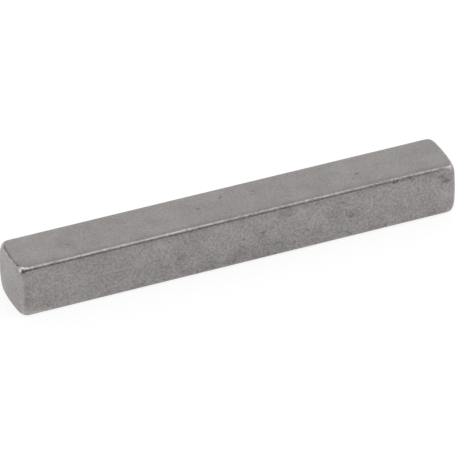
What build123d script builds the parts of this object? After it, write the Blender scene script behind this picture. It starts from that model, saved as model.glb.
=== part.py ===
from build123d import *

import os

# Parallel key, 6 x 6 x 50 mm: one piece of square key steel with square ends, cut to length and
# tumbled. +X runs along the key, +Z points up, and the origin is under its middle.
# Four sides stay flat and square to each other, because they seat in the two keyways. The long
# edges are lightly broken. Each end touches nothing: it is slightly domed, its rim is rounded, and
# towards it the long edges round off more and more, since a tumbled corner is hit from three sides.

# Driving dimensions, in millimetres
length = 50.0  # over the middles of both ends
width = 6.0  # across the two flanks that carry the load
height = 6.0  # from the face in the shaft to the face in the hub
edge_radius = 0.4  # rounding along the four long edges
corner_radius = 1.8  # what that rounding has grown to in the plane of the end
corner_reach = 1.2  # how far from the end it starts to grow
corner_sections = 5  # profiles that the growing corner is lofted through
end_dome = 0.2  # how far an end's middle stands out past the middle of its sides
rim_radius = 0.4  # rounding where the four sides turn into the end
widest_corner = 0.45  # of the key's thinner side, so that a small key keeps some flat there

# The end is part of a sphere that passes through its middle and the middle of its wider sides.
half_side = max(width, height) / 2
dome_radius = (half_side**2 + end_dome**2) / (2 * end_dome)
end_corner_radius = min(corner_radius, widest_corner * min(width, height))
plain_half_length = length / 2 - corner_reach

# Every profile lies across this plane's normal, which is the key's own long axis.
cross_section = Plane(origin=(0, 0, height / 2), x_dir=(0, 1, 0), z_dir=(1, 0, 0))

with BuildPart() as parallel_key:
    # The stretch next to the end, where the corners grow: gently at first, then ever faster
    for index in range(corner_sections):
        share = index / (corner_sections - 1)
        radius = edge_radius + (end_corner_radius - edge_radius) * share**2
        with BuildSketch(cross_section.offset(plain_half_length + corner_reach * share)):
            RectangleRounded(width, height, radius)
    loft()

    # The domed end, and the rim round it
    with Locations((length / 2 - dome_radius, 0, height / 2)):
        Sphere(dome_radius, mode=Mode.INTERSECT)
    dome = parallel_key.faces().sort_by(Axis.X)[-1]
    fillet(dome.edges(), rim_radius)

    # The plain bar, from that stretch back to the middle of the key
    with BuildSketch(cross_section):
        RectangleRounded(width, height, edge_radius)
    extrude(amount=plain_half_length)

    # The other half is the same
    mirror(about=Plane.YZ)

parallel_key.part.label = "parallel_key"

os.makedirs("parts", exist_ok=True)
export_step(parallel_key.part, "parts/parallel_key.step")
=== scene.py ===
from math import cos, pi, radians, sin
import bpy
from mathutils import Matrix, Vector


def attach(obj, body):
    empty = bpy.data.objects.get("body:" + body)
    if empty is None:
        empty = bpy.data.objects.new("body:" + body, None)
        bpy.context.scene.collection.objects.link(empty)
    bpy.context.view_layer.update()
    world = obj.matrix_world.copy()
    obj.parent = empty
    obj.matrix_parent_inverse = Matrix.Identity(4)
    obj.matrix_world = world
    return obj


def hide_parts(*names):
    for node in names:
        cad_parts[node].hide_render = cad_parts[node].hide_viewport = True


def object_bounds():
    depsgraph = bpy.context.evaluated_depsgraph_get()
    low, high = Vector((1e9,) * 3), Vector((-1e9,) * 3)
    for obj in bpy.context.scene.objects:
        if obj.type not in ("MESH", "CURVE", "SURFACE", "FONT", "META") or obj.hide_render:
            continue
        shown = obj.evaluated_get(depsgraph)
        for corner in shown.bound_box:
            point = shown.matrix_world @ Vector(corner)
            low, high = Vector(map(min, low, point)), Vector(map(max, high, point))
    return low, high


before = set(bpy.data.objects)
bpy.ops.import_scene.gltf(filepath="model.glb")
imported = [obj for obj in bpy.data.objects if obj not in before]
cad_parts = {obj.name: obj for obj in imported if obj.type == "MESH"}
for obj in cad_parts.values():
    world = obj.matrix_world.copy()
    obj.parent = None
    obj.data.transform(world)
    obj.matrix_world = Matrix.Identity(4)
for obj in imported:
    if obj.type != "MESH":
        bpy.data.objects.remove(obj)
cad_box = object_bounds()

from types import SimpleNamespace

import bpy
import numpy as np
from mathutils import Vector, noise

# The looks of a tumbled steel parallel key. The CAD bar is replaced by the same form in a fine
# mesh, which carries the dents and nicks that tumbling leaves. +X runs along the key, and its front
# faces -Y. The mesh is worked out in millimetres about the key's own middle, and then put in the
# frame's place.

MM = 0.001
BODY = "root"
NODE = "parallel_key"
STEEL_SLOT = "tumbled_steel"
SEED = 7

# ---- The key's form, in millimetres, as the CAD model has it ------------------------------------
low, high = (np.array(corner) / MM for corner in cad_box)
CENTRE = (low + high) / 2
LENGTH, WIDTH, HEIGHT = np.round(high - low, 1)  # the CAD facets cut the domes a little short
EDGE_RADIUS = 0.4
CORNER_RADIUS = 1.8
CORNER_REACH = 1.2
RIM_RADIUS = 0.4
END_DOME = 0.2
DOME_RADIUS = ((WIDTH / 2) ** 2 + END_DOME**2) / (2 * END_DOME)

# The ends aren't quite square: how far each leans out over the half width and the half height
LEANS = {1: (0.04, -0.06), -1: (0.0, 0.05)}
LEAN_REACH = 1.5

# ---- How finely it is divided -------------------------------------------------------------------
ARC_STEPS = 12  # round each long edge
FLAT_STEPS = 40  # across each flat side
SIDE_STEPS = ARC_STEPS + FLAT_STEPS
BAR_STEPS = 380  # along the bar
RIM_STEPS = 14  # over each end's rim
BAR_END = LENGTH / 2 - 0.9  # where the bar's stations stop and the rim's begin
CORE_SHARE = 0.8  # the rim's points fan out from a core this much smaller than the bar
HALVINGS = 40  # to find a point of the surface
FARTHEST = 2.0  # millimetres from the core within which the surface lies

# ---- Even wear, in millimetres: how deep, and over what length it varies -------------------------
EDGE_LOSS, EDGE_LOSS_LENGTH = 0.004, 0.9
EDGE_RIPPLE, EDGE_RIPPLE_LENGTH = 0.002, 0.3
FACE_RIPPLE, FACE_RIPPLE_LENGTH = 0.0012, 0.6

# ---- Marks that this key carries, in millimetres about its middle --------------------------------
# Dents in the edges: where, then radius and depth
NICKS = [
    ((17.5, -2.98, 2.75), 0.30, 0.020),
    ((18.5, -2.98, 2.68), 0.28, 0.030),
    ((19.1, -2.98, 2.70), 0.25, 0.025),
    ((19.7, -2.99, 2.60), 0.32, 0.035),
    ((12.1, -2.85, 2.88), 0.25, 0.015),
    ((5.6, -2.88, 2.85), 0.28, 0.015),
    ((1.2, -2.86, 2.87), 0.22, 0.012),
    ((-6.3, -2.87, 2.86), 0.30, 0.015),
    ((-13.8, -2.88, 2.85), 0.25, 0.015),
]
# Corners knocked a little out of shape: where, then radius, and the shift in the middle
KNOCKS = [
    ((24.3, -2.9, 2.9), 2.0, (0.07, 0, -0.12)),
    ((-24.5, -2.6, 2.9), 0.9, (0, 0, 0.08)),
]
# Small marks: where, then radius, and how dark. Those below 0 are lighter than the steel.
TOP_SPOTS = [
    ((-18.5, -0.5, 3.0), 0.18, 0.5),
    ((-18.1, -1.4, 3.0), 0.20, 0.4),
    ((-16.5, -0.25, 3.0), 0.14, 0.6),
    ((-12.3, 1.05, 3.0), 0.15, 0.4),
    ((-11.6, 0.7, 3.0), 0.13, 0.4),
    ((-7.5, -1.8, 3.0), 0.15, -0.5),
    ((-6.0, -2.2, 3.0), 0.15, -0.4),
    ((-3.5, 0.2, 3.0), 0.18, 0.9),
    ((-0.72, 1.1, 3.0), 0.15, 0.8),
    ((-0.5, 1.36, 3.0), 0.15, 0.8),
    ((3.0, 0.9, 3.0), 0.16, 0.4),
    ((13.6, -1.05, 3.0), 0.14, 0.6),
    ((14.4, -0.46, 3.0), 0.18, 0.7),
]
FRONT_SPOTS = [
    ((-24.0, -3.0, 0.7), 0.40, 0.35),
    ((-23.9, -3.0, -1.0), 0.60, 0.40),
    ((0.3, -3.0, 0.1), 0.15, 0.6),
    ((2.5, -3.0, 0.3), 0.13, 0.5),
    ((4.5, -3.0, -0.8), 0.15, 0.4),
    ((12.5, -3.0, 0.0), 0.45, 0.45),
    ((16.6, -3.0, -2.5), 0.15, 0.6),
    ((17.5, -3.0, 2.68), 0.17, 0.8),
    ((17.8, -3.0, 2.66), 0.14, 0.7),
    ((18.3, -3.0, 2.60), 0.12, 0.8),
    ((18.6, -3.0, 2.58), 0.12, 0.8),
    ((18.8, -3.0, 0.1), 0.25, -0.40),
    ((18.9, -3.0, 2.56), 0.12, 0.7),
    ((19.35, -3.0, 2.58), 0.20, 1.0),
    ((19.75, -3.0, 2.50), 0.16, 0.8),
    ((23.1, -3.0, 1.9), 0.25, 0.60),
    ((23.6, -3.0, 1.3), 0.35, 0.70),
]
CORNER_SPOTS = [
    ((-24.75, -2.70, 2.10), 0.50, 0.3),
    ((-24.67, -1.90, 2.87), 0.35, 0.45),
    ((-24.65, -1.40, 2.93), 0.35, 0.35),
    # A painted glint where the highlight turns the left corner, and painted shade in the gap beside it
    # and beneath it
    ((-24.57, -2.58, 2.72), 0.20, -2.4),
    ((-24.39, -2.74, 2.84), 0.13, 1.7),
    ((-24.36, -2.86, 2.70), 0.15, 0.3),
    # A painted glint at the right corner
    ((24.15, -2.90, 2.75), 0.25, -0.8),
]
# Wide, faint stains, written in the same way
TOP_STAINS = [
    # Painted shade by the left corner
    ((-23.5, -2.0, 3.0), 1.0, 0.22),
    ((-22.3, 2.0, 3.0), 1.5, -0.15),
    ((-18.3, -0.6, 3.0), 1.2, 0.12),
    ((-5.0, 2.1, 3.0), 0.8, -0.15),
    ((-3.0, -0.9, 3.0), 1.6, 0.20),
    ((-0.8, 1.8, 3.0), 1.2, -0.15),
    ((20.1, 1.0, 3.0), 0.9, 0.18),
]
FRONT_STAINS = [
    ((-19.0, -3.0, -0.8), 1.5, 0.12),
    ((-18.8, -3.0, 0.5), 1.1, -0.25),
    ((-17.2, -3.0, -1.5), 1.0, 0.20),
    ((-15.3, -3.0, 1.5), 0.7, 0.25),
    ((-13.5, -3.0, 0.0), 1.2, 0.15),
    ((-10.8, -3.0, 0.5), 1.1, -0.20),
    ((-9.0, -3.0, -1.5), 1.1, 0.22),
    ((-8.2, -3.0, -0.2), 0.7, -0.30),
    ((-6.8, -3.0, -0.3), 0.6, 0.25),
    ((-5.5, -3.0, -1.4), 1.0, -0.30),
    ((-3.0, -3.0, -1.6), 1.0, 0.20),
    ((-1.5, -3.0, 1.6), 1.2, -0.20),
    ((-1.2, -3.0, -2.1), 0.7, 0.25),
    ((0.3, -3.0, -1.7), 1.1, 0.35),
    ((2.8, -3.0, -2.0), 1.8, 0.35),
    ((3.4, -3.0, 0.6), 0.6, 0.25),
    ((5.3, -3.0, 2.4), 1.0, 0.25),
    ((5.4, -3.0, -1.8), 1.2, 0.30),
    ((8.5, -3.0, 0.2), 0.9, -0.30),
    ((9.5, -3.0, -0.6), 2.6, 0.18),
    ((13.2, -3.0, -0.3), 1.1, 0.25),
    ((15.5, -3.0, 0.8), 2.0, -0.18),
    ((18.4, -3.0, -1.0), 0.8, 0.20),
    ((23.0, -3.0, -0.4), 0.9, -0.30),
    ((23.7, -3.0, 1.6), 0.8, 0.30),
    ((24.1, -3.0, -1.7), 0.8, 0.25),
]
PATCHES = TOP_SPOTS + FRONT_SPOTS + CORNER_SPOTS + TOP_STAINS + FRONT_STAINS
# Faint rings: where, then radius of the ring, and how dark
RINGS = [
    ((2.9, 0.7, 3.0), 0.35, 0.25),
    ((21.9, -3.0, -0.2), 0.40, 0.25),
]
# Brighter and duller stretches of the front's long edges, partly uneven burnish and partly a
# painted highlight: where along the key, then half length and how bright
GLEAMS = [
    (-22.0, 1.0, 0.10),
    (-20.0, 1.0, -0.15),
    (-16.5, 1.0, 0.10),
    (-12.5, 1.0, -0.20),
    (-7.0, 1.5, 0.20),
    (-2.0, 1.0, -0.10),
    (5.0, 1.0, -0.15),
    (7.0, 1.0, 0.15),
    (11.0, 1.0, 0.15),
]
MARK_CORE, MARK_FADE = 0.3, 1.5  # how many radii out a mark begins to fade, and is gone
MARK_DEPTH = 0.5  # how much darker the steel is where a mark's darkness is 1
MARK_RAGGED = 0.25  # how far the grain frays a mark's outline, in millimetres
RING_HALF_WIDTH = 0.16


# ---- The key's form -----------------------------------------------------------------------------
def section(half_width, half_height, radius):
    """The points round a rounded rectangle, as (y, z), SIDE_STEPS to a side. Each side runs from
    the middle of one rounded corner to the middle of the next, starting along the bottom."""
    arc = np.linspace(0, pi / 4, ARC_STEPS // 2, endpoint=False)
    flat = np.linspace(-1, 1, FLAT_STEPS, endpoint=False)
    angle = np.concatenate([arc - pi / 4, 0 * flat, arc])
    share = np.concatenate([0 * arc - 1, flat, 0 * arc + 1])
    points = []
    for side in range(4):
        half, out = (half_width, half_height) if side % 2 == 0 else (half_height, half_width)
        along = share * (half - radius) + radius * np.sin(angle)
        outward = out - radius + radius * np.cos(angle)
        turn = side * pi / 2
        y = along * cos(turn) + outward * sin(turn)
        z = along * sin(turn) - outward * cos(turn)
        points.append(np.column_stack([y, z]))
    return np.concatenate(points)


def edge_radius(x):
    """The rounding of the long edges, which grows towards the ends."""
    share = np.maximum(0, 1 - (LENGTH / 2 - np.abs(x)) / CORNER_REACH)
    return EDGE_RADIUS + (CORNER_RADIUS - EDGE_RADIUS) * share**2


def distance(points):
    """About how far each point lies outside the key, and less than 0 for a point inside it."""
    x, y, z = np.abs(points).T
    radius = edge_radius(x)
    past_y, past_z = y - (WIDTH / 2 - radius), z - (HEIGHT / 2 - radius)
    side = np.hypot(np.maximum(past_y, 0), np.maximum(past_z, 0)) - radius
    side += np.minimum(np.maximum(past_y, past_z), 0)
    dome = np.sqrt((x - LENGTH / 2 + DOME_RADIUS) ** 2 + y**2 + z**2) - DOME_RADIUS
    past_side, past_dome = side + RIM_RADIUS, dome + RIM_RADIUS
    rounded = np.hypot(np.maximum(past_side, 0), np.maximum(past_dome, 0)) - RIM_RADIUS
    return rounded + np.minimum(np.maximum(past_side, past_dome), 0)


def surface(starts, directions):
    """Where rays that start inside the key come out of it, found by halving."""
    near, far = np.zeros(len(starts)), np.full(len(starts), FARTHEST)
    for _ in range(HALVINGS):
        middle = (near + far) / 2
        inside = distance(starts + directions * middle[:, None]) < 0
        near, far = np.where(inside, middle, near), np.where(inside, far, middle)
    return starts + directions * near[:, None]


def rim_rings(ring):
    """The rings over the +X end's rim, from the bar's last one to the edge of the dome."""
    core = np.column_stack([np.full(len(ring), BAR_END), ring * CORE_SHARE])
    outward = ring / np.linalg.norm(ring, axis=1)[:, None]
    rings = []
    for turn in np.linspace(0, pi / 2, RIM_STEPS + 1):
        directions = np.column_stack([np.full(len(ring), sin(turn)), outward * cos(turn)])
        rings.append(surface(core, directions))
    return rings


def cap_grid(ring):
    """(y, z) for a square grid of points that fills a ring, as an array of its rows. The grid's
    border is the ring itself, point for point."""
    steps = np.arange(SIDE_STEPS + 1)
    u, v = np.meshgrid(2 * steps / SIDE_STEPS - 1, 2 * steps / SIDE_STEPS - 1, indexing="ij")
    reach = np.maximum(np.maximum(np.abs(u), np.abs(v)), 1e-9)
    u, v = u / reach, v / reach
    near = 1 - 1e-9
    sides = [v <= -near, u >= near, v >= near]
    along = [(u + 1) / 2, 1 + (v + 1) / 2, 2 + (1 - u) / 2]
    place = np.select(sides, along, 3 + (1 - v) / 2) * SIDE_STEPS
    index = np.arange(len(ring) + 1)
    closed = np.vstack([ring, ring[:1]])
    border = [np.interp(place, index, closed[:, axis]) for axis in range(2)]
    return np.stack(border, axis=-1) * reach[..., None]


def bar_mesh():
    """The smooth key as (vertices in millimetres about its own middle, quads)."""
    around = 4 * SIDE_STEPS
    bar = []
    for x in np.linspace(-BAR_END, BAR_END, BAR_STEPS + 1):
        bar.append(np.column_stack([np.full(around, x), section(WIDTH / 2, HEIGHT / 2, edge_radius(x))]))
    rim = rim_rings(bar[-1][:, 1:])
    mirror = np.array([-1, 1, 1])
    stations = [ring * mirror for ring in reversed(rim[1:])] + bar + rim[1:]
    vertices = list(stations)

    index = np.arange(around)
    after = (index + 1) % around
    quads = []
    for station in range(len(stations) - 1):
        here, there = station * around, (station + 1) * around
        quads.append(np.column_stack([here + index, here + after, there + after, there + index]))

    # The dome inside each end's last ring: a square grid, whose border is that ring
    grid = cap_grid(rim[-1][:, 1:])[1:-1, 1:-1].reshape(-1, 2)
    starts = np.column_stack([np.full(len(grid), BAR_END), grid])
    dome = surface(starts, np.tile([1.0, 0.0, 0.0], (len(grid), 1)))
    inner = np.arange(len(grid)).reshape(SIDE_STEPS - 1, SIDE_STEPS - 1)
    total = len(stations) * around
    for first, points, facing in ((0, dome * mirror, -1), (total - around, dome, 1)):
        border = first + index.reshape(4, SIDE_STEPS)
        numbers = np.zeros((SIDE_STEPS + 1, SIDE_STEPS + 1), int)
        numbers[:-1, 0] = border[0]
        numbers[-1, :-1] = border[1]
        numbers[:0:-1, -1] = border[2]
        numbers[0, :0:-1] = border[3]
        numbers[1:-1, 1:-1] = total + inner
        cells = [numbers[:-1, :-1], numbers[1:, :-1], numbers[1:, 1:], numbers[:-1, 1:]]
        quads.append(np.column_stack([cell.ravel() for cell in cells[::facing]]))
        vertices.append(points)
        total += len(points)
    return np.concatenate(vertices), np.concatenate(quads)


def leaning(vertices):
    """The vertices with each end leaning a little."""
    moved = vertices.copy()
    for side, (over_width, over_height) in LEANS.items():
        share = np.clip(1 - (LENGTH / 2 - side * vertices[:, 0]) / LEAN_REACH, 0, 1) ** 0.5
        lean = over_width * vertices[:, 1] / (WIDTH / 2) + over_height * vertices[:, 2] / (HEIGHT / 2)
        moved[:, 0] += side * share * lean
    return moved


def knocked(vertices):
    """The vertices with the knocked corners pushed over."""
    moved = vertices.copy()
    for place, radius, shift in KNOCKS:
        away = np.linalg.norm(vertices - place, axis=1) / radius
        moved += np.clip(1 - away**2, 0, 1)[:, None] ** 2 * shift
    return moved


def smooth_normals(vertices, quads):
    """Each vertex's outward normal, from the faces round it."""
    a, b, c, d = (vertices[quads[:, corner]] for corner in range(4))
    face = np.cross(c - a, d - b)
    normals = np.zeros_like(vertices)
    for corner in range(4):
        np.add.at(normals, quads[:, corner], face)
    return normals / np.linalg.norm(normals, axis=1)[:, None]


def ripple(points, size, shift):
    """Smooth noise of about that feature size in millimetres, from -1 to 1, at each point. Each
    shift gives another noise."""
    offset = Vector((shift, SEED, -shift))
    return np.array([noise.noise(Vector(point) / size + offset) for point in points])


def wear(vertices, normals):
    """How far each vertex is moved along its normal, in millimetres."""
    edge = np.clip((1 - np.abs(normals).max(axis=1)) / 0.2, 0, 1)  # 0 on the flats, 1 on the edges
    moved = -EDGE_LOSS * edge * (1 + ripple(vertices, EDGE_LOSS_LENGTH, 11))
    moved += EDGE_RIPPLE * edge * ripple(vertices, EDGE_RIPPLE_LENGTH, 23)
    moved += FACE_RIPPLE * ripple(vertices, FACE_RIPPLE_LENGTH, 31)
    for place, radius, depth in NICKS:
        away = np.linalg.norm(vertices - place, axis=1) / radius
        moved -= depth * np.clip(1 - away**2, 0, 1) ** 2
    return moved


def make_key():
    """The key as one mesh object."""
    vertices, quads = bar_mesh()
    vertices = knocked(leaning(vertices))
    normals = smooth_normals(vertices, quads)
    shaped = vertices + normals * wear(vertices, normals)[:, None]
    mesh = bpy.data.meshes.new("key_steel")
    mesh.from_pydata(((shaped + CENTRE) * MM).tolist(), [], quads.tolist())
    mesh.validate()
    mesh.shade_smooth()
    key = bpy.data.objects.new("key_steel", mesh)
    bpy.context.scene.collection.objects.link(key)
    return key


# ---- Materials ----------------------------------------------------------------------------------
DARK_STEEL = (0.1370, 0.1298, 0.1260, 1)
BRIGHT_STEEL = (0.717, 0.676, 0.664, 1)
PLAIN_TONE = 0.585  # plain steel's tone, where dark steel's is 0 and bright steel's is 2
ROUGHNESS = 0.36
BURNISHING = -0.18  # what it adds to the roughness of the edges
BUMP = 0.012  # how deep the grain is, in millimetres
EDGE_REFLECTION = (0.9, 0.9, 0.9, 1)  # how much the steel reflects at a glancing angle


class Nodes:
    """A short way to write a material's nodes. Wherever a value goes in, it is a number or
    another node's output."""

    def __init__(self, tree):
        self.tree = tree
        tree.nodes.clear()

    def add(self, kind, **settings):
        node = self.tree.nodes.new(kind)
        for name, value in settings.items():
            setattr(node, name, value)
        return node

    def link(self, source, target):
        self.tree.links.new(source, target)

    def put(self, socket, value):
        if isinstance(value, bpy.types.NodeSocket):
            self.link(value, socket)
        else:
            socket.default_value = value

    def math(self, operation, first, second=0.0, clamp=False):
        node = self.add("ShaderNodeMath", operation=operation, use_clamp=clamp)
        self.put(node.inputs[0], first)
        self.put(node.inputs[1], second)
        return node.outputs[0]

    def plus(self, total, *others):
        for other in others:
            total = self.math("ADD", total, other)
        return total

    def times(self, product, *others):
        for other in others:
            product = self.math("MULTIPLY", product, other)
        return product

    def absolute(self, value):
        return self.math("ABSOLUTE", value)

    def larger(self, first, second):
        return self.math("MAXIMUM", first, second)

    def split(self, vector):
        """A vector's three parts."""
        node = self.add("ShaderNodeSeparateXYZ")
        self.link(vector, node.inputs[0])
        return [node.outputs[name] for name in "XYZ"]

    def ramp(self, value, start, stop, bottom=0.0, top=1.0):
        """Bottom up to start, top from stop on, and a smooth step between them."""
        node = self.add("ShaderNodeMapRange", interpolation_type="SMOOTHSTEP")
        self.put(node.inputs["Value"], value)
        node.inputs["From Min"].default_value = start
        node.inputs["From Max"].default_value = stop
        node.inputs["To Min"].default_value = bottom
        node.inputs["To Max"].default_value = top
        return node.outputs["Result"]

    def span(self, length, start, stop, bottom=0.0, top=1.0):
        """The same over a length, with start and stop in millimetres."""
        return self.ramp(length, start * MM, stop * MM, bottom, top)

    def noise(self, place, size, detail, roughness=0.5):
        """Noise with features of that size in millimetres, from about -0.5 to 0.5."""
        node = self.add("ShaderNodeTexNoise")
        self.link(place, node.inputs["Vector"])
        node.inputs["Scale"].default_value = 1 / (size * MM)
        node.inputs["Detail"].default_value = detail
        node.inputs["Roughness"].default_value = roughness
        return self.plus(node.outputs["Fac"], -0.5)

    def away(self, place, point):
        """How far a place is from a point given in millimetres about the key's middle."""
        node = self.add("ShaderNodeVectorMath", operation="DISTANCE")
        self.link(place, node.inputs[0])
        node.inputs[1].default_value = tuple((np.array(point) + CENTRE) * MM)
        return node.outputs["Value"]

    def mix(self, share, first, second):
        """A mix of two colours."""
        node = self.add("ShaderNodeMix", data_type="RGBA")
        colour_a, colour_b = node.inputs[6], node.inputs[7]  # their names are shared by other types
        self.put(node.inputs["Factor"], share)
        self.put(colour_a, first)
        self.put(colour_b, second)
        return node.outputs[2]

    def finish(self, shader, output="ShaderNodeOutputMaterial"):
        """Link the last shader to the output."""
        self.link(shader.outputs[0], self.add(output).inputs["Surface"])


def new_material(name):
    """A material without nodes, and what writes them."""
    material = bpy.data.materials.new(name)
    material.use_nodes = True
    return material, Nodes(material.node_tree)


def steel_places(n):
    """Where a point of the steel lies: its place, its parts about the key's middle in metres, and
    how far it belongs to each part of the key that looks different, from 0 to 1. Normals are
    taken without their sign, so along_z is 1 on the top and the bottom."""
    coordinates = n.add("ShaderNodeTexCoord")
    facing = n.add("ShaderNodeVectorMath", operation="ABSOLUTE")
    n.link(coordinates.outputs["Normal"], facing.inputs[0])
    along_x, along_y, along_z = n.split(facing.outputs["Vector"])
    flattest = n.larger(n.larger(along_x, along_y), along_z)

    at = SimpleNamespace(place=coordinates.outputs["Object"])
    parts = [n.plus(part, -middle * MM) for part, middle in zip(n.split(at.place), CENTRE)]
    at.x, at.y, at.z = parts
    to_end, to_side, to_top = [
        n.math("SUBTRACT", full / 2 * MM, n.absolute(part))
        for full, part in zip((LENGTH, WIDTH, HEIGHT), parts)
    ]
    to_edge = n.larger(to_side, to_top)  # on a flat side, to the nearer of its long edges

    at.end = n.ramp(along_x, 0.80, 0.99)
    at.flank = n.times(n.ramp(along_y, 0.94, 0.998), n.span(to_end, 0.55, 0.85))
    # All rounded edges, and the flat strips along the front's long edges, where shade is painted
    at.burnished = n.ramp(flattest, 0.99, 0.90)
    at.beside = n.times(n.span(to_edge, 0.95, 0.45), n.ramp(flattest, 0.90, 0.99), n.span(at.y, 1.0, 0.0))
    # The front's long edges where they face up or down, which take a painted highlight, and all four
    # where they turn to the flanks, which take painted shade and light
    at.ridge = n.times(at.burnished, n.span(at.y, -2.3, -2.6), n.ramp(along_z, 0.50, 0.65))
    at.under = n.times(at.burnished, n.ramp(along_y, 0.6, 0.8), n.ramp(along_z, 0.60, 0.45))
    at.under = n.times(at.under, n.ramp(along_z, 0.12, 0.28))
    # The long edges' run into the corners, which takes a painted highlight
    at.tip = n.times(n.span(to_end, 2.0, 0.6), n.ramp(along_z, 0.45, 0.70))
    at.tip = n.times(at.tip, at.burnished, n.ramp(along_y, 0.1, 0.35))
    # The ends' upright edges, and the part of them that turns to the flanks, which is lightened: partly
    # burnish, partly a painted reflection
    at.upright = n.times(at.burnished, n.span(to_end, 1.2, 0.8), n.ramp(along_z, 0.40, 0.15))
    at.rim = n.times(n.span(to_end, 0.8, 0.55), n.ramp(along_z, 0.40, 0.15), n.ramp(along_y, 0.25, 0.70))
    # The ends' level edges, which take painted light
    at.crease = n.times(at.burnished, n.ramp(along_y, 0.35, 0.10), n.ramp(along_x, 0.25, 0.45))
    at.crease = n.times(at.crease, n.ramp(along_z, 0.25, 0.45))
    # The flanks' foot, which takes painted light, and the strip of the top along the back, which takes a
    # painted sheen
    at.foot = n.times(n.span(at.z, -2.0, -2.7), n.ramp(along_y, 0.30, 0.60))
    at.back = n.times(n.span(at.y, 2.2, 2.8), n.ramp(along_z, 0.30, 0.60))
    return at


def gleams(n, at):
    """How much the front's long edges gleam, unevenly along them: partly uneven burnish, partly a painted
    highlight.
    """
    gleam = n.times(n.noise(at.place, 1.6, 1.0), 0.9)
    for middle, half_length, bright in GLEAMS:
        away = n.absolute(n.plus(at.x, -middle * MM))
        start, stop = MARK_CORE * half_length, MARK_FADE * half_length
        gleam = n.plus(gleam, n.span(away, start, stop, bright, 0.0))
    return gleam


def worn_tone(n, at, grain):
    """The steel's tone, with its grain and wear, and with highlights and shade painted along its edges,
    at its ends and on its foot. Left and right are as seen from the front.
    """
    blotches = n.noise(at.place, 2.0, 3.0)
    clouds = n.noise(at.place, 4.0, 1.0)
    worms = n.ramp(n.absolute(n.noise(at.place, 0.55, 1.0)), 0.0, 0.07, 1.0, 0.0)
    return n.plus(
        PLAIN_TONE,
        # The grain and blotches, stronger on the flanks
        n.times(grain, n.plus(0.68, n.times(at.flank, 0.52))),
        n.times(blotches, n.plus(0.30, n.times(at.flank, 0.16))),
        n.times(clouds, 0.18),
        n.times(worms, at.flank, -0.15),
        # The ends, a little lighter, and lighter towards their top by painted light
        n.times(at.end, n.plus(0.06, n.times(grain, 0.6))),
        n.times(at.end, n.times(at.z, 0.035 / MM)),
        # The flanks, lighter towards their top and at their right end by painted light
        n.times(at.flank, n.plus(0.01, n.times(at.z, 0.02 / MM))),
        n.times(at.flank, n.span(at.x, 23.2, 23.8, 0.0, 0.14)),
        # The burnished edges, and the painted shade in the strip beside them
        n.times(at.burnished, n.plus(0.03, n.times(grain, 0.8))),
        n.times(at.beside, n.plus(-0.13, n.times(at.flank, 0.05))),
        # The long edges: a painted highlight at their corners, painted shade and light where they turn to
        # the flanks (darker towards the left, lighter at the right end), and the front ones' gleam, a
        # painted highlight that is partly uneven burnish
        n.times(at.tip, 0.55),
        n.times(at.under, n.span(at.x, -23.9, -22.5, -0.22, 0.0)),
        n.times(at.under, n.span(at.x, 22.5, 23.9, 0.0, 0.20)),
        n.times(at.under, n.span(at.x, -25.0, 20.0, -0.20, 0.04)),
        n.times(at.ridge, n.span(at.x, -20.0, 12.0, 0.06, -0.10)),
        n.times(at.ridge, gleams(n, at)),
        # The ends' edges: rims lightened, partly burnish and partly a painted reflection; less grain on
        # the upright edges; painted light on the level edges
        n.times(at.rim, 0.15),
        n.times(at.upright, grain, -0.5),
        n.times(at.crease, 0.22),
        # Painted light on the flanks' foot, brightest at the left, and a painted sheen on the strip along
        # the back
        n.times(at.foot, n.span(at.x, -23.5, -19.5, 0.50, 0.07)),
        n.times(at.back, 0.07),
    )


def marked_tone(n, at, grain, tone):
    """The tone with the spots, stains and rings, among which are a few painted glints and some painted
    shade by the left corner.
    """
    ragged = n.times(grain, MARK_RAGGED * MM)
    for point, radius, dark in PATCHES:
        away = n.plus(n.away(at.place, point), ragged)
        start, stop = MARK_CORE * radius, MARK_FADE * radius
        tone = n.plus(tone, n.span(away, start, stop, -MARK_DEPTH * dark, 0.0))
    for point, radius, dark in RINGS:
        off_ring = n.absolute(n.plus(n.away(at.place, point), ragged, -radius * MM))
        tone = n.plus(tone, n.span(off_ring, 0.0, RING_HALF_WIDTH, -MARK_DEPTH * dark, 0.0))
    return tone


def steel_material():
    """Half-matt grey steel: a fine grain all over, coarser and blotchier on the two flanks, and
    edges that tumbling has burnished. Highlights, glints and shade are painted along its edges and at its
    ends."""
    material, n = new_material(STEEL_SLOT)
    at = steel_places(n)
    grain = n.noise(at.place, 0.27, 2.0, 0.6)
    tone = marked_tone(n, at, grain, worn_tone(n, at, grain))
    share = n.math("MULTIPLY", tone, 0.5, clamp=True)

    bump = n.add("ShaderNodeBump")
    bump.inputs["Strength"].default_value = 1.0
    bump.inputs["Distance"].default_value = BUMP * MM
    n.link(grain, bump.inputs["Height"])

    shader = n.add("ShaderNodeBsdfPrincipled")
    shader.inputs["Metallic"].default_value = 1.0
    shader.inputs["Specular Tint"].default_value = EDGE_REFLECTION
    n.link(n.mix(share, DARK_STEEL, BRIGHT_STEEL), shader.inputs["Base Color"])
    worn = n.plus(ROUGHNESS, n.times(grain, 0.12), n.times(at.burnished, BURNISHING))
    n.link(n.plus(worn, n.times(at.upright, 0.10)), shader.inputs["Roughness"])
    n.link(bump.outputs["Normal"], shader.inputs["Normal"])
    n.finish(shader)
    return material


# ---- The studio ---------------------------------------------------------------------------------
FLOOR_GREY = 0.30
FLOOR_LIFT = 0.80  # added where the floor is seen, which brings it to white
WORLD_LEVEL = 0.6  # of white, where the world lights


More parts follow.
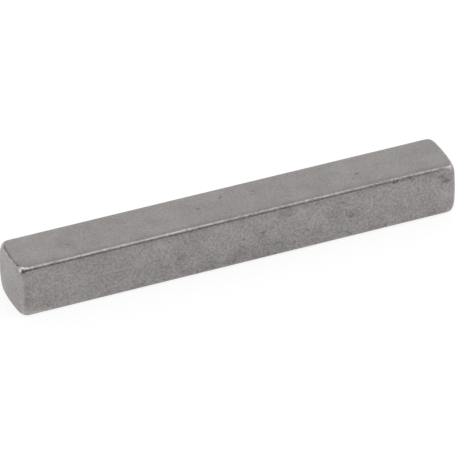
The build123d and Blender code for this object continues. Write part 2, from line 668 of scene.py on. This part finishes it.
def background_rays(n):
    """1 for the rays that see the background: the camera's, reflections and refractions."""
    path = n.add("ShaderNodeLightPath")
    seen = n.larger(path.outputs["Is Camera Ray"], path.outputs["Is Glossy Ray"])
    return n.larger(seen, path.outputs["Is Transmission Ray"])


def grey_card(n, grey):
    card = n.add("ShaderNodeBsdfDiffuse")
    card.inputs["Color"].default_value = (grey, grey, grey, 1)
    return card


def floor_material():
    """Plain pale card that photographs as white, and still takes the key's shadow."""
    material, n = new_material("floor")
    lift = n.add("ShaderNodeEmission")
    n.link(n.times(background_rays(n), FLOOR_LIFT), lift.inputs["Strength"])
    both = n.add("ShaderNodeAddShader")
    n.link(grey_card(n, FLOOR_GREY).outputs[0], both.inputs[0])
    n.link(lift.outputs[0], both.inputs[1])
    n.finish(both)
    return material


def flag_material(name, grey):
    material, n = new_material(name)
    n.finish(grey_card(n, grey))
    return material


def plane(name, centre, across, up, material):
    """A flat staged card: centre, and its two half sides as vectors, in metres."""
    centre, across, up = Vector(centre), Vector(across), Vector(up)
    corners = [centre - across - up, centre + across - up, centre + across + up, centre - across + up]
    mesh = bpy.data.meshes.new(name)
    mesh.from_pydata([tuple(corner) for corner in corners], [], [(0, 1, 2, 3)])
    mesh.materials.append(material)
    card = bpy.data.objects.new(name, mesh)
    bpy.context.scene.collection.objects.link(card)
    return card


def flag(name, centre, across, up, grey):
    """A grey card that darkens what the steel reflects, and does nothing else to the light."""
    card = plane(name, centre, across, up, flag_material(name, grey))
    card.visible_camera = False
    card.visible_diffuse = False
    card.visible_transmission = False
    card.visible_shadow = False


def world_light(strength):
    """An even white studio: full white where it is seen, and a softer level where it lights."""
    world = bpy.data.worlds.new("studio")
    bpy.context.scene.world = world
    world.use_nodes = True
    n = Nodes(world.node_tree)
    light = n.add("ShaderNodeBackground")
    light.inputs["Color"].default_value = (1, 1, 1, 1)
    seen = background_rays(n)
    n.link(n.plus(n.times(seen, 1 - strength), strength), light.inputs["Strength"])
    n.finish(light, "ShaderNodeOutputWorld")


def softbox(name, place, aim, width, height, level):
    """A soft area light that shines with that radiance, and that the camera doesn't see."""
    data = bpy.data.lights.new(name, "AREA")
    data.shape = "RECTANGLE"
    data.size, data.size_y = width, height
    data.energy = level * pi * width * height
    light = bpy.data.objects.new(name, data)
    light.location = place
    light.rotation_mode = "QUATERNION"
    light.rotation_quaternion = (Vector(aim) - Vector(place)).to_track_quat("-Z", "Y")
    light.visible_camera = False
    bpy.context.scene.collection.objects.link(light)


# ---- The camera, at the photo's viewing angle ----------------------------------------------------
AZIMUTH, ELEVATION = radians(-23.52), radians(34.08)
CAMERA_DISTANCE = 11.3  # in lengths of the key
KEY_SPAN = 1.04945  # the picture's widths that the key would fill, seen square on
SHIFT = (-0.00538, -0.00341)  # of the picture's width
SENSOR = 36.0


def make_camera():
    data = bpy.data.cameras.new("camera")
    data.sensor_width = SENSOR
    data.lens = KEY_SPAN * CAMERA_DISTANCE * SENSOR
    data.shift_x, data.shift_y = SHIFT
    data.clip_start, data.clip_end = 0.01, 50
    camera = bpy.data.objects.new("camera", data)
    level = cos(ELEVATION)
    back = Vector((sin(AZIMUTH) * level, -cos(AZIMUTH) * level, sin(ELEVATION)))
    camera.location = Vector(CENTRE * MM) + back * CAMERA_DISTANCE * LENGTH * MM
    camera.rotation_mode = "QUATERNION"
    camera.rotation_quaternion = (-back).to_track_quat("-Z", "Y")
    bpy.context.scene.collection.objects.link(camera)
    bpy.context.scene.camera = camera


# ---- The scene ----------------------------------------------------------------------------------
key = make_key()
key.data.materials.append(steel_material())
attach(key, BODY)
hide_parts(NODE)

plane("floor", centre=(0, 0, 0), across=(8, 0, 0), up=(0, 8, 0), material=floor_material())
# What the steel reflects: one card leans in front of the key, one stands behind it to the left
flag(
    "flag_front",
    centre=(-0.05, -0.118, 0.0855),
    across=(0.12, 0, 0),
    up=(0.036, -0.096, 0.0835),
    grey=0.70,
)
flag(
    "flag_left",
    centre=(-0.118, 0.19, 0.113),
    across=(0.055, 0, 0.045),
    up=(-0.025, 0, 0.03),
    grey=0.90,
)
world_light(WORLD_LEVEL)
softbox("overhead", place=(-0.05, -0.13, 0.6), aim=(-0.05, -0.13, 0), width=1.7, height=0.3, level=0.7)
make_camera()
bpy.context.scene.view_settings.view_transform = "Standard"
